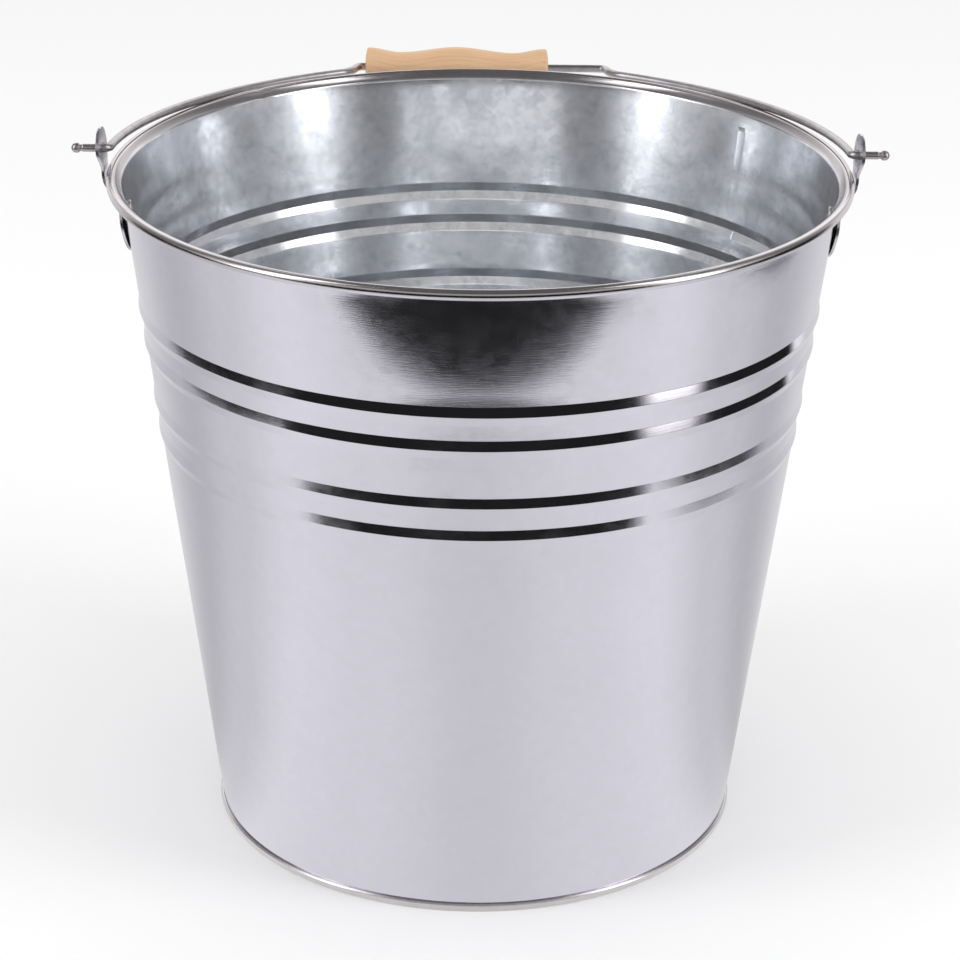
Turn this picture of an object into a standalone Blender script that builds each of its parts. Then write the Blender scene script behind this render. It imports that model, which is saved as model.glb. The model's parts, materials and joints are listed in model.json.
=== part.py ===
"""Galvanised florist's bucket: a tapered, beaded pail with a wire bail and a turned wooden grip.

Frame: metres, +Z up. The origin is on the bucket's own axis, in the plane that it stands on.
The ears lie on +X and -X, the bail swings about an axis along X, and at rest it hangs back on +Y.
"""
import math

import bmesh
import bpy
from mathutils import Vector

# Driving dimensions, in metres.
HEIGHT = 0.280            # standing plane to the top of the rim
RIM_R = 0.150             # outside radius of the rim
CHIME_R = 0.110           # outside radius of the seam round the base
SHEET = 0.0005            # sheet thickness of the wall and the base
GAP = 0.0003              # clearance kept between neighbouring pieces
STEPS = 60                # facets round a full turn of the bucket

# Wall
FOOT_R = 0.1087           # outside radius of the wall where it enters the base seam
FOOT_Z = 0.0013           # top face of the small flange that the base seam grips
NECK_Z = HEIGHT - 0.0040  # where the straight taper ends and the flare to the rim starts
NECK_R = 0.1444           # outside radius of the wall at the neck
BEAD_DEPTHS = (0.0536, 0.0678, 0.0924, 0.1062)  # bead centres, measured down from the rim
BEAD_HALF = 0.0042        # half the height of a bead
BEAD_OUT = 0.0009         # how far a bead stands out

# Rim
RIM_WIRE_R = 0.0013
CURL_STEP = math.radians(30)
CURL_REACH = math.radians(150)  # the curl runs this far either way from pointing outwards
RIM_WIRE_BREAK = math.radians(131)  # where the two ends of the rim wire meet

# Base
FLOOR_LIFT = 0.0024       # underside of the floor above the standing plane
CHIME_TOP = 0.0033
STAND_R = 0.1074          # inner face of the ring that the bucket stands on

# Ears
EAR_SHEET = 0.0011
EAR_HALF = 0.0135         # half width of the ear's lower leaf
EAR_TIP_R = 0.0086        # radius of the ear's upper leaf, round the pin hole
EAR_LEAF_DROP = 0.0220    # centre of the ear's lower leaf, below the rim
RIVET_DROP = 0.0180       # rivet below the rim
RIVET_R = 0.0020
RIVET_HEAD_R = 0.0036

# Bail
WIRE_R = 0.0017
PIN_LIFT = 0.0067         # bail axis above the rim
PIN_END = 0.1646          # outer end of each pin
PIN_HEAD_R = 0.00205      # swaged end of the pin
PIN_HEAD_LENGTH = 0.0040
ARM_X = 0.1490            # arm centre line just inside the ear
PIN_BEND_R = 0.0030
ARM_START_ANGLE = math.radians(5)
ARM_END_ANGLE = math.radians(59)
ARM_BEND_R = 0.190        # the arms are long shallow arcs
GRIP_REACH = 0.1615       # bail axis to the straight stretch that carries the grip
STRAIGHT_HALF = 0.0525    # half the straight stretch
KNEE_OUT = 0.0040         # the retaining knee stands this far beyond the straight stretch
BAIL_REST = math.radians(-3.5)  # the folded bail hangs a little below level

# Grip
GRIP_LENGTH = 0.0820
GRIP_X = -0.0110          # the grip has slid along its wire towards -X
GRIP_BORE_R = 0.0022
GRIP_END_R = 0.0085
GRIP_WAIST_R = 0.0066
GRIP_BELLY_R = 0.0090

TAPER = math.atan((NECK_R - FOOT_R) / (NECK_Z - FOOT_Z))
PIN_Z = HEIGHT + PIN_LIFT


def clear_scene():
    for obj in list(bpy.data.objects):
        bpy.data.objects.remove(obj, do_unlink=True)


def new_collection(name):
    collection = bpy.data.collections.new(name)
    bpy.context.scene.collection.children.link(collection)
    return collection


def material(name, colour, roughness, metallic):
    mat = bpy.data.materials.new(name)
    mat.use_nodes = True
    shader = mat.node_tree.nodes["Principled BSDF"]
    shader.inputs["Base Color"].default_value = (*colour, 1.0)
    shader.inputs["Roughness"].default_value = roughness
    shader.inputs["Metallic"].default_value = metallic
    return mat


def add_object(name, data, collection, mat=None):
    obj = bpy.data.objects.new(name, data)
    collection.objects.link(obj)
    if mat is not None:
        data.materials.append(mat)
    return obj


def mesh_from(bm, name):
    mesh = bpy.data.meshes.new(name)
    bm.to_mesh(mesh)
    bm.free()
    return mesh


def profile_mesh(name, points, closed):
    """Edges through (radius, height) points in the XZ plane, for a Screw modifier."""
    bm = bmesh.new()
    verts = [bm.verts.new((radius, 0.0, height)) for radius, height in points]
    for first, second in zip(verts, verts[1:]):
        bm.edges.new((first, second))
    if closed:
        bm.edges.new((verts[-1], verts[0]))
    return mesh_from(bm, name)


def add_turned(name, points, steps, collection, mat, closed=False):
    """Turn a profile about Z. It runs down its outer side."""
    obj = add_object(name, profile_mesh(name, points, closed), collection, mat)
    turn = obj.modifiers.new("Turn", "SCREW")
    turn.axis = "Z"
    turn.steps = steps
    turn.render_steps = steps
    turn.use_merge_vertices = True
    turn.merge_threshold = 0.00001
    turn.use_smooth_shade = True
    return obj


def add_thickness(obj, thickness):
    """Give an open surface its sheet thickness, behind the face that its normals leave."""
    solidify = obj.modifiers.new("Sheet", "SOLIDIFY")
    solidify.thickness = thickness
    solidify.offset = -1.0
    solidify.use_even_offset = True


def add_cut(obj, cutter, name):
    cut = obj.modifiers.new(name, "BOOLEAN")
    cut.operation = "DIFFERENCE"
    cut.solver = "EXACT"
    cut.object = cutter


def hide_tool(obj):
    obj.hide_render = True
    obj.display_type = "WIRE"


def add_drill(name, centre, direction, radius, length, collection):
    """A round cutter, centred on a point and lying along a direction."""
    bm = bmesh.new()
    bmesh.ops.create_cone(bm, cap_ends=True, segments=24, radius1=radius, radius2=radius, depth=length)
    drill = add_object(name, mesh_from(bm, name), collection)
    drill.rotation_mode = "QUATERNION"
    drill.rotation_quaternion = Vector((0, 0, 1)).rotation_difference(direction)
    drill.location = centre
    hide_tool(drill)
    return drill


def wall_radius(height):
    """Outside radius of the plain taper at a height."""
    return FOOT_R + (height - FOOT_Z) * math.tan(TAPER)


def curl_centre():
    """Centre of the rim wire's section, and the radius of the curl's inner face."""
    inner = RIM_WIRE_R + GAP
    outer = inner + SHEET / math.cos(CURL_STEP / 2)
    return RIM_R - outer, HEIGHT - outer, inner


def wall_profile():
    """The sheet's face that looks at the rim wire, and then out of the bucket, from curl to foot."""
    centre_r, centre_z, inner = curl_centre()
    points = []
    count = round(2 * CURL_REACH / CURL_STEP)
    for i in range(count + 1):
        angle = -CURL_REACH + i * CURL_STEP
        points.append((centre_r + inner * math.cos(angle), centre_z + inner * math.sin(angle)))
    points.append((NECK_R, NECK_Z))
    for depth in BEAD_DEPTHS:
        middle = HEIGHT - depth
        points.append((wall_radius(middle + BEAD_HALF), middle + BEAD_HALF))
        points.append((wall_radius(middle) + BEAD_OUT, middle))
        points.append((wall_radius(middle - BEAD_HALF), middle - BEAD_HALF))
    points.append((FOOT_R, FOOT_Z))
    points.append((CHIME_R - SHEET - GAP, FOOT_Z))
    return points


def make_wall(parts, tools, zinc):
    wall = add_turned("bucket_wall", wall_profile(), STEPS, parts, zinc)
    add_thickness(wall, SHEET)
    for side, word in ((-1, "left"), (1, "right")):
        centre, outwards = rivet_seat(side)
        hole = add_drill(f"cut_wall_{word}", centre, outwards, RIVET_R + GAP, 0.010, tools)
        add_cut(wall, hole, f"Rivet hole {word}")


def make_base(parts, zinc):
    """Floor and standing ring of one sheet, whose edge wraps round the wall's foot flange."""
    lip_r = FOOT_R + CHIME_TOP * math.tan(TAPER) + GAP
    corner = 0.0004
    points = [
        (lip_r, CHIME_TOP),
        (CHIME_R - corner, CHIME_TOP),
        (CHIME_R, CHIME_TOP - corner),
        (CHIME_R, corner),
        (CHIME_R - corner, 0.0),
        (STAND_R + corner, 0.0),
        (STAND_R, corner),
        (STAND_R, FLOOR_LIFT - corner),
        (STAND_R - corner, FLOOR_LIFT),
        (0.0, FLOOR_LIFT),
    ]
    base = add_turned("base_pan", points, STEPS, parts, zinc)
    add_thickness(base, SHEET)


def make_rim_wire(parts, steel):
    """Hoop of wire inside the curl. It has points at the wall's own facets, and a butt joint."""
    centre_r, centre_z, _ = curl_centre()
    pitch = math.tau / STEPS
    half_break = math.radians(0.3)
    first = math.floor(RIM_WIRE_BREAK / pitch) + 1
    angles = [RIM_WIRE_BREAK + half_break]
    angles += [(first + i) * pitch for i in range(STEPS)]
    angles.append(RIM_WIRE_BREAK + math.tau - half_break)
    points = [(centre_r * math.cos(a), centre_r * math.sin(a), centre_z) for a in angles]
    add_wire("rim_wire", points, RIM_WIRE_R, parts, steel)


def add_wire(name, points, radius, collection, mat, scales=None):
    """A round wire along points. scales thickens or thins it point by point."""
    curve = bpy.data.curves.new(name, "CURVE")
    curve.dimensions = "3D"
    curve.bevel_depth = radius
    curve.bevel_resolution = 2
    curve.use_fill_caps = True
    spline = curve.splines.new("POLY")
    spline.points.add(len(points) - 1)
    for i, point in enumerate(points):
        spline.points[i].co = (*point, 1.0)
        spline.points[i].radius = scales[i] if scales else 1.0
    spline.use_smooth = True
    return add_object(name, curve, collection, mat)


def rivet_seat(side):
    """Middle of the wall's thickness behind an ear, and the direction out through it."""
    outwards = Vector((side * math.cos(TAPER), 0.0, -math.sin(TAPER)))
    height = HEIGHT - RIVET_DROP
    surface = Vector((side * wall_radius(height), 0.0, height))
    return surface - outwards * SHEET / 2, outwards


def ear_side_profile():
    """Inner face of the ear seen along Y, from its tip down: (x, z) for the +X ear."""
    bottom = HEIGHT - EAR_LEAF_DROP - EAR_HALF
    return [
        (0.15200, HEIGHT + 0.0200),
        (0.15160, PIN_Z),
        (RIM_R + 0.0004, HEIGHT),
        (RIM_R + 0.0004, HEIGHT - 0.0048),
        (wall_radius(HEIGHT - 0.0125) + GAP, HEIGHT - 0.0125),
        (wall_radius(bottom) + GAP, bottom - 0.002),
    ]


def ear_outline():
    """Face-on outline of the ear in YZ: a small leaf round the pin hole above a wider one."""
    points = []
    lower = HEIGHT - EAR_LEAF_DROP
    arc = 12
    for i in range(arc + 1):
        angle = math.pi + math.pi * i / arc
        points.append((EAR_HALF * math.cos(angle), lower + EAR_HALF * math.sin(angle)))
    for i in range(arc + 1):
        angle = math.pi * i / arc
        points.append((EAR_TIP_R * math.cos(angle), PIN_Z + EAR_TIP_R * math.sin(angle)))
    return points


def make_ear(word, side, parts, tools, zinc):
    """A strip bent to the side profile, trimmed to the outline, then drilled for pin and rivet."""
    bm = bmesh.new()
    half = EAR_HALF + 0.004
    rows = [
        [bm.verts.new((side * x, y, z)) for x, z in ear_side_profile()] for y in (-half, half)
    ]
    for i in range(len(rows[0]) - 1):
        bm.faces.new((rows[0][i], rows[0][i + 1], rows[1][i + 1], rows[1][i]))
    bm.normal_update()
    if side * bm.faces[:][0].normal.x > 0:
        bmesh.ops.reverse_faces(bm, faces=bm.faces[:])
    ear = add_object(f"ear_{word}", mesh_from(bm, f"ear_{word}"), parts, zinc)
    add_thickness(ear, EAR_SHEET)

    bm = bmesh.new()
    ring = [bm.verts.new((side * 0.130, y, z)) for y, z in ear_outline()]
    face = bm.faces.new(ring)
    made = bmesh.ops.extrude_face_region(bm, geom=[face])
    moved = [item for item in made["geom"] if isinstance(item, bmesh.types.BMVert)]
    bmesh.ops.translate(bm, verts=moved, vec=(side * 0.030, 0.0, 0.0))
    bmesh.ops.recalc_face_normals(bm, faces=bm.faces[:])
    trimmer = add_object(f"cut_ear_outline_{word}", mesh_from(bm, f"cut_ear_outline_{word}"), tools)
    hide_tool(trimmer)
    trim = ear.modifiers.new("Outline", "BOOLEAN")
    trim.operation = "INTERSECT"
    trim.solver = "EXACT"
    trim.object = trimmer

    sideways = Vector((side, 0.0, 0.0))
    pin_hole = add_drill(
        f"cut_pin_{word}", Vector((side * 0.152, 0.0, PIN_Z)), sideways, WIRE_R + GAP, 0.010, tools
    )
    add_cut(ear, pin_hole, "Pin hole")
    centre, outwards = rivet_seat(side)
    rivet_hole = add_drill(
        f"cut_rivet_{word}", centre + outwards * 0.001, outwards, RIVET_R + GAP, 0.008, tools
    )
    add_cut(ear, rivet_hole, "Rivet hole")


def make_rivet(word, side, parts, steel):
    """Domed head outside the ear, shank through ear and wall, flat set end inside the bucket."""
    centre, outwards = rivet_seat(side)
    head_seat = SHEET / 2 + GAP + EAR_SHEET + 2 * GAP
    set_seat = -SHEET / 2 - GAP - 0.0001
    points = [(0.0, head_seat + 0.0014)]
    for angle in (65, 40, 15):
        a = math.radians(angle)
        points.append((RIVET_HEAD_R * math.cos(a), head_seat + 0.0014 * math.sin(a)))
    points += [
        (RIVET_HEAD_R, head_seat),
        (RIVET_R, head_seat),
        (RIVET_R, set_seat),
        (RIVET_HEAD_R - 0.0004, set_seat),
        (RIVET_HEAD_R - 0.0004, set_seat - 0.0005),
        (RIVET_HEAD_R - 0.0010, set_seat - 0.0009),
        (0.0, set_seat - 0.0009),
    ]
    rivet = add_turned(f"ear_rivet_{word}", points, 16, parts, steel)
    rivet.rotation_mode = "QUATERNION"
    rivet.rotation_quaternion = Vector((0, 0, 1)).rotation_difference(outwards)
    rivet.location = centre


def arc_points(centre, radius, start, end, count):
    """Points on an arc in the bail's plane, start and end included."""
    points = []
    for i in range(count):
        angle = start + (end - start) * i / (count - 1)
        points.append((centre[0] + radius * math.cos(angle), centre[1] + radius * math.sin(angle)))
    return points


def half_bail():
    """Centre line of the +X half in the bail's plane, from the pin's end to the straight stretch."""
    head = [(PIN_END - 0.0002, 0.0), (PIN_END - 0.0010, 0.0), (PIN_END - PIN_HEAD_LENGTH, 0.0),
            (PIN_END - PIN_HEAD_LENGTH - 0.0006, 0.0)]
    bend = arc_points((ARM_X + PIN_BEND_R, PIN_BEND_R), PIN_BEND_R, -math.pi / 2, -math.pi, 5)
    arm_centre = (ARM_X - ARM_BEND_R * math.cos(ARM_START_ANGLE),
                  PIN_BEND_R + 0.001 - ARM_BEND_R * math.sin(ARM_START_ANGLE))
    arm = arc_points(arm_centre, ARM_BEND_R, ARM_START_ANGLE, ARM_END_ANGLE, 14)
    knee = [
        (STRAIGHT_HALF + KNEE_OUT + 0.0008, arm[-1][1] + 0.0030),
        (STRAIGHT_HALF + KNEE_OUT - 0.0010, GRIP_REACH - 0.0030),
        (STRAIGHT_HALF + 0.0022, GRIP_REACH - 0.0007),
        (STRAIGHT_HALF, GRIP_REACH),
    ]
    return head, bend + arm + knee


def make_bail(parts, steel):
    """The bail lies in its own XY plane, pins along X; its empty carries it to the hinge axis."""
    hinge = bpy.data.objects.new("bail_hinge", None)
    parts.objects.link(hinge)
    hinge.location = (0.0, 0.0, PIN_Z)
    hinge.rotation_euler = (BAIL_REST, 0.0, 0.0)

    head, body = half_bail()
    right = head + body
    swell = PIN_HEAD_R / WIRE_R
    scales = [0.55 * swell, swell, swell, 1.0] + [1.0] * len(body)
    left = [(-x, y) for x, y in reversed(right)]
    points = [(x, y, 0.0) for x, y in right + left]
    bail = add_wire("bail_wire", points, WIRE_R, parts, steel, scales + scales[::-1])
    bail.parent = hinge
    return hinge


def make_grip(parts, hinge, beech):
    """Turned grip: waists near both ends, a fuller belly, and a bore that runs on the wire."""
    half = GRIP_LENGTH / 2
    ease = 0.0010
    waist_at = 0.62 * half
    points = [(GRIP_BORE_R, half), (GRIP_END_R - ease, half), (GRIP_END_R, half - ease)]
    steps = 7
    for i in range(1, steps + 1):
        t = i / steps
        blend = (1 - math.cos(math.pi * t)) / 2
        radius = GRIP_END_R + (GRIP_WAIST_R - GRIP_END_R) * blend
        points.append((radius, (half - ease) + (waist_at - half + ease) * t))
    for i in range(1, steps + 1):
        t = i / steps
        blend = (1 - math.cos(math.pi * t)) / 2
        points.append((GRIP_WAIST_R + (GRIP_BELLY_R - GRIP_WAIST_R) * blend, waist_at * (1 - t)))
    points += [(radius, -z) for radius, z in reversed(points[:-1])]
    grip = add_turned("wooden_grip", points, 24, parts, beech, closed=True)
    grip.parent = hinge
    grip.location = (GRIP_X, GRIP_REACH, 0.0)
    grip.rotation_euler = (0.0, math.pi / 2, 0.0)


def main():
    clear_scene()
    parts = new_collection("florist_bucket")
    tools = new_collection("florist_bucket_cutters")
    zinc = material("galvanised_sheet", (0.62, 0.61, 0.64), 0.32, 1.0)
    base_zinc = material("galvanised_base", (0.58, 0.57, 0.58), 0.35, 1.0)
    ear_zinc = material("galvanised_ear", (0.55, 0.55, 0.58), 0.35, 1.0)
    wire = material("zinc_plated_wire", (0.52, 0.50, 0.50), 0.28, 1.0)
    rim_wire = material("rim_wire_steel", (0.50, 0.49, 0.48), 0.40, 1.0)
    rivet_steel = material("rivet_steel", (0.55, 0.54, 0.52), 0.30, 1.0)
    beech = material("beech", (0.68, 0.43, 0.23), 0.55, 0.0)

    make_wall(parts, tools, zinc)
    make_base(parts, base_zinc)
    make_rim_wire(parts, rim_wire)
    for word, side in (("left", -1), ("right", 1)):
        make_ear(word, side, parts, tools, ear_zinc)
        make_rivet(word, side, parts, rivet_steel)
    hinge = make_bail(parts, wire)
    make_grip(parts, hinge, beech)


main()
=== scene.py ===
"""The looks of a galvanised florist's bucket: beaded sheet, rolled rim, ears, bail and beech grip.

Metres, +Z up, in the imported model's own frame: the axis of the bucket is Z, and it stands on z = 0.
"""

import json
import math

import bmesh
import bpy
import numpy as np
from mathutils import Matrix, Vector


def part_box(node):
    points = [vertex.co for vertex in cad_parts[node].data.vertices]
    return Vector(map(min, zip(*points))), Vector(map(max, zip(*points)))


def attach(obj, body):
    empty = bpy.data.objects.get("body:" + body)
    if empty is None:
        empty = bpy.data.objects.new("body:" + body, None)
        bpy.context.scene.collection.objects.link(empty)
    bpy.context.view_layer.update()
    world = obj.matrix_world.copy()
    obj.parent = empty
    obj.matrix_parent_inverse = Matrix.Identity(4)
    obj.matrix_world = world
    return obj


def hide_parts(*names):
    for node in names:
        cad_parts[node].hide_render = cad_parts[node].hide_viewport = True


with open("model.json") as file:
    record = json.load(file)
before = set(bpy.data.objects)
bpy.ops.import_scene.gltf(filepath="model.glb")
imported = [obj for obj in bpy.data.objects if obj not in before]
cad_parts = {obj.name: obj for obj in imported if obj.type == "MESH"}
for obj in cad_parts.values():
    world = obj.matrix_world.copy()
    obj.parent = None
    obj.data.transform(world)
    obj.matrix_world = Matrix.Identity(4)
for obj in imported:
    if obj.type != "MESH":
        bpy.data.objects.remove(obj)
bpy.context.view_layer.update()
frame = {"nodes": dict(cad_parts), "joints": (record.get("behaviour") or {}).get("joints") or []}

MM = 0.001

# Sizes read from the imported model
WALL_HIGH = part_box("bucket_wall")[1]
BASE_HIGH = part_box("base_pan")[1]
BAIL_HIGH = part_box("bail_wire")[1]
GRIP_LOW, GRIP_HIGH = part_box("wooden_grip")
JOINTS = {joint["name"]: joint for joint in frame["joints"]}
PIN_Z = JOINTS["bail_swing"]["pos_m"][2]
GRIP_CENTRE = Vector(JOINTS["grip_spin"]["pos_m"])
HEIGHT = WALL_HIGH.z
RIM_R = WALL_HIGH.x
CHIME_R = BASE_HIGH.x
PIN_END = BAIL_HIGH.x

# The wall's sheet
SHEET = 0.5 * MM
FOOT_R = 108.45 * MM      # middle of the sheet at the foot
FOOT_Z = 1.05 * MM
NECK_R = 144.05 * MM      # middle of the sheet where the flare to the rim starts
NECK_Z = HEIGHT - 3.3 * MM
TAPER = math.atan((NECK_R - FOOT_R) / (NECK_Z - FOOT_Z))
CURL_R = 1.87 * MM        # rolled rim, to the middle of the sheet
CURL_CENTRE = (RIM_R - CURL_R - SHEET / 2, HEIGHT - CURL_R - SHEET / 2)
# each bead: crest below the rim, how far it stands out, hollow left under it
BEADS = (
    (53.6 * MM, 0.91 * MM, 0.07 * MM),
    (67.8 * MM, 0.92 * MM, 0.12 * MM),
    (92.4 * MM, 0.84 * MM, 0.0),
    (106.2 * MM, 0.86 * MM, 0.0),
)
BEAD_RISE = 4.1 * MM      # height of the flat shoulder above a crest
BEAD_FALL = 3.4 * MM      # height of the round side under it
SEAM_ANGLE = math.radians(37.5)
RIM_JOINT_ANGLE = math.radians(131)
WALL_STEPS = 300

# Ears and rivets
EAR_SHEET = 1.1 * MM
EAR_HALF = 13.5 * MM
EAR_NECK_HALF = 6.6 * MM
EAR_TIP_R = 8.6 * MM
EAR_LEAF_DROP = 22.0 * MM
EAR_TWIST = math.radians(5)
RIVET_DROP = 18.0 * MM
RIVET_R = 2.0 * MM
RIVET_HEAD_R = 3.6 * MM

# Bail
WIRE_R = 1.7 * MM
PIN_HEAD_R = 2.05 * MM
PIN_HEAD_LENGTH = 3.9 * MM
ARM_X = 149.0 * MM
ARM_BEND_R = 190.0 * MM
GRIP_REACH = 161.5 * MM
STRAIGHT_HALF = 52.5 * MM
KNEE_OUT = 4.0 * MM
BAIL_REST = math.atan2(GRIP_CENTRE.z - PIN_Z, GRIP_CENTRE.y)

# Grip
GRIP_LENGTH = GRIP_HIGH.x - GRIP_LOW.x
GRIP_BORE_R = 2.2 * MM
GRIP_END_R = 8.5 * MM
GRIP_WAIST_R = 6.6 * MM
GRIP_BELLY_R = 9.0 * MM

# How finely the pieces are cut, and how close two points are when they count as one
BASE_STEPS = 240
GRIP_STEPS = 96
RIVET_STEPS = 40
WIRE_SIDES = 20
SAME_PLACE = 0.002 * MM


# ---------------------------------------------------------------- node trees

class Tree:
    """Writes a node tree: each call adds one node, feeds its sockets and returns it."""

    def __init__(self, tree):
        self.tree = tree

    def add(self, kind, feeds=None, **settings):
        node = self.tree.nodes.new(kind)
        for name, value in settings.items():
            setattr(node, name, value)
        for socket, value in (feeds or {}).items():
            self.feed(node.inputs[socket], value)
        return node

    def feed(self, socket, value):
        if isinstance(value, bpy.types.Node):
            value = value.outputs[0]
        if isinstance(value, bpy.types.NodeSocket):
            self.tree.links.new(value, socket)
        else:
            socket.default_value = value

    def math(self, operation, first, second=0.0):
        feeds = {0: first, 1: second}
        return self.add("ShaderNodeMath", feeds, operation=operation).outputs[0]

    def vector_math(self, operation, first, second=(0.0, 0.0, 0.0)):
        return self.add("ShaderNodeVectorMath", {0: first, 1: second}, operation=operation)

    def noise(self, where, scale, detail=2.0, roughness=0.5, distortion=0.0):
        feeds = {"Vector": where, "Scale": scale, "Detail": detail,
                 "Roughness": roughness, "Distortion": distortion}
        return self.add("ShaderNodeTexNoise", feeds).outputs[0]

    def remap(self, value, low, high, new_low=0.0, new_high=1.0):
        feeds = {"Value": value, "From Min": low, "From Max": high,
                 "To Min": new_low, "To Max": new_high}
        return self.add("ShaderNodeMapRange", feeds, interpolation_type="SMOOTHSTEP").outputs[0]

    def blend(self, share, first, second):
        """Colour between two colours."""
        feeds = {"Factor": share, "A": first, "B": second}
        node = self.add("ShaderNodeMix", data_type="RGBA")
        for socket in node.inputs:
            if socket.enabled and socket.name in feeds:
                self.feed(socket, feeds[socket.name])
        return next(socket for socket in node.outputs if socket.enabled)

    def ramp(self, value, stops):
        """Colour ramp with stops of (position, colour), eased between them."""
        node = self.add("ShaderNodeValToRGB", {0: value})
        node.color_ramp.interpolation = "EASE"
        elements = node.color_ramp.elements
        while len(elements) < len(stops):
            elements.new(0.5)
        for element, (position, colour) in zip(elements, stops):
            element.position = position
            element.color = (*colour, 1.0)
        return node.outputs[0]


def geometry_tree(name, sizes):
    """A Geometry Nodes group with a mesh in and out, and one named input for each size."""
    group = bpy.data.node_groups.new(name, "GeometryNodeTree")
    group.interface.new_socket("Geometry", in_out="INPUT", socket_type="NodeSocketGeometry")
    for label, kind in sizes:
        group.interface.new_socket(label, in_out="INPUT", socket_type=kind)
    group.interface.new_socket("Geometry", in_out="OUTPUT", socket_type="NodeSocketGeometry")
    tree = Tree(group)
    return group, tree, tree.add("NodeGroupInput").outputs


def close_tree(tree, geometry, material):
    """Every tree ends the same way: real geometry, with its material."""
    real = tree.add("GeometryNodeRealizeInstances", {"Geometry": geometry})
    finished = tree.add("GeometryNodeSetMaterial", {"Geometry": real, "Material": material})
    tree.add("NodeGroupOutput", {0: finished})


def placed(name, data):
    """A new object, in the scene."""
    obj = bpy.data.objects.new(name, data)
    bpy.context.scene.collection.objects.link(obj)
    return obj


def evaluated_mesh(obj):
    """The mesh that an object's modifiers or curves make."""
    bpy.context.view_layer.update()
    return bpy.data.meshes.new_from_object(
        obj.evaluated_get(bpy.context.evaluated_depsgraph_get())
    )


def baked(name, mesh, group, sizes):
    """Runs a tree on a mesh and returns the plain mesh object that it makes."""
    obj = placed(name, mesh)
    modifier = obj.modifiers.new("Shape", "NODES")
    modifier.node_group = group
    for item in group.interface.items_tree:
        if item.in_out == "INPUT" and item.name in sizes:
            modifier[item.identifier] = sizes[item.name]
    result = evaluated_mesh(obj)
    obj.modifiers.remove(modifier)
    obj.data = result
    result.name = name
    result.materials.clear()
    result.materials.append(sizes["Material"])
    result.polygons.foreach_set("material_index", [0] * len(result.polygons))
    return obj


def turning_tree():
    """Turns a profile about Z. The profile's points are (radius, 0, height), in order."""
    sizes = [
        ("Steps", "NodeSocketInt"),
        ("First Angle", "NodeSocketFloat"),
        ("Waviness", "NodeSocketFloat"),
        ("Material", "NodeSocketMaterial"),
    ]
    group, tree, given = geometry_tree("turned_piece", sizes)
    count = tree.add(
        "GeometryNodeAttributeDomainSize", {0: given["Geometry"]}, component="MESH"
    ).outputs["Point Count"]
    columns = tree.math("ADD", given["Steps"], 1)
    grid = tree.add("GeometryNodeMeshGrid", {"Vertices X": columns, "Vertices Y": count})
    index = tree.add("GeometryNodeInputIndex").outputs[0]
    column = tree.math("FLOOR", tree.math("DIVIDE", tree.math("ADD", index, 0.5), count))
    row = tree.math("SUBTRACT", index, tree.math("MULTIPLY", column, count))
    place = tree.add("GeometryNodeInputPosition")
    picked = tree.add(
        "GeometryNodeSampleIndex",
        {"Geometry": given["Geometry"], "Value": place, "Index": row},
        data_type="FLOAT_VECTOR",
    )
    parts = tree.add("ShaderNodeSeparateXYZ", {0: picked})
    share = tree.math("DIVIDE", column, given["Steps"])
    angle = tree.math("ADD", given["First Angle"], tree.math("MULTIPLY", share, math.tau))
    across = tree.math("MULTIPLY", parts.outputs["X"], tree.math("COSINE", angle))
    along = tree.math("MULTIPLY", parts.outputs["X"], tree.math("SINE", angle))
    turned = tree.add(
        "ShaderNodeCombineXYZ", {"X": across, "Y": along, "Z": parts.outputs["Z"]}
    )
    shaped = tree.add("GeometryNodeSetPosition", {"Geometry": grid, "Position": turned})

    # slow ripples of the sheet, the same through its thickness, fading out at the axis
    ripple = tree.noise(place, 9.0, 1.0)
    ripple = tree.math("SUBTRACT", ripple, 0.5)
    ripple = tree.math("MULTIPLY", ripple, given["Waviness"])
    outwards = tree.vector_math("MULTIPLY", place, (1.0, 1.0, 0.0))
    outwards = tree.vector_math("NORMALIZE", outwards)
    push = tree.add("ShaderNodeVectorMath", {0: outwards, "Scale": ripple}, operation="SCALE")
    rippled = tree.add("GeometryNodeSetPosition", {"Geometry": shaped, "Offset": push})

    unrolled = tree.add("ShaderNodeCombineXYZ", {"X": share, "Y": row})
    mapped = tree.add(
        "GeometryNodeStoreNamedAttribute",
        {"Geometry": rippled, "Name": "UVMap", "Value": unrolled},
        data_type="FLOAT2",
        domain="CORNER",
    )
    merged = tree.add("GeometryNodeMergeByDistance", {"Geometry": mapped, "Distance": 0.00001})
    smooth = tree.add("GeometryNodeSetShadeSmooth", {"Geometry": merged})
    close_tree(tree, smooth, given["Material"])
    return group


def wire_tree():
    """Sweeps a round section along a path of edges. Each point has its own thickness."""
    sizes = [
        ("Radius", "NodeSocketFloat"),
        ("Sides", "NodeSocketInt"),
        ("Material", "NodeSocketMaterial"),
    ]
    group, tree, given = geometry_tree("wire_on_path", sizes)
    path = tree.add("GeometryNodeMeshToCurve", {"Mesh": given["Geometry"]})
    thickness = tree.add(
        "GeometryNodeInputNamedAttribute", {"Name": "thickness"}, data_type="FLOAT"
    ).outputs[0]
    thick = tree.math("MULTIPLY", thickness, given["Radius"])
    section = tree.add(
        "GeometryNodeCurvePrimitiveCircle", {"Resolution": given["Sides"], "Radius": 1.0}
    )
    swept = tree.add(
        "GeometryNodeCurveToMesh",
        {"Curve": path, "Profile Curve": section, "Scale": thick, "Fill Caps": True},
    )
    smooth = tree.add("GeometryNodeSetShadeSmooth", {"Geometry": swept})
    close_tree(tree, smooth, given["Material"])
    return group


# ---------------------------------------------------------------- outlines

def eased(t):
    """Share from 0 to 1 that starts and ends slowly."""
    return (1 - math.cos(math.pi * t)) / 2


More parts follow.
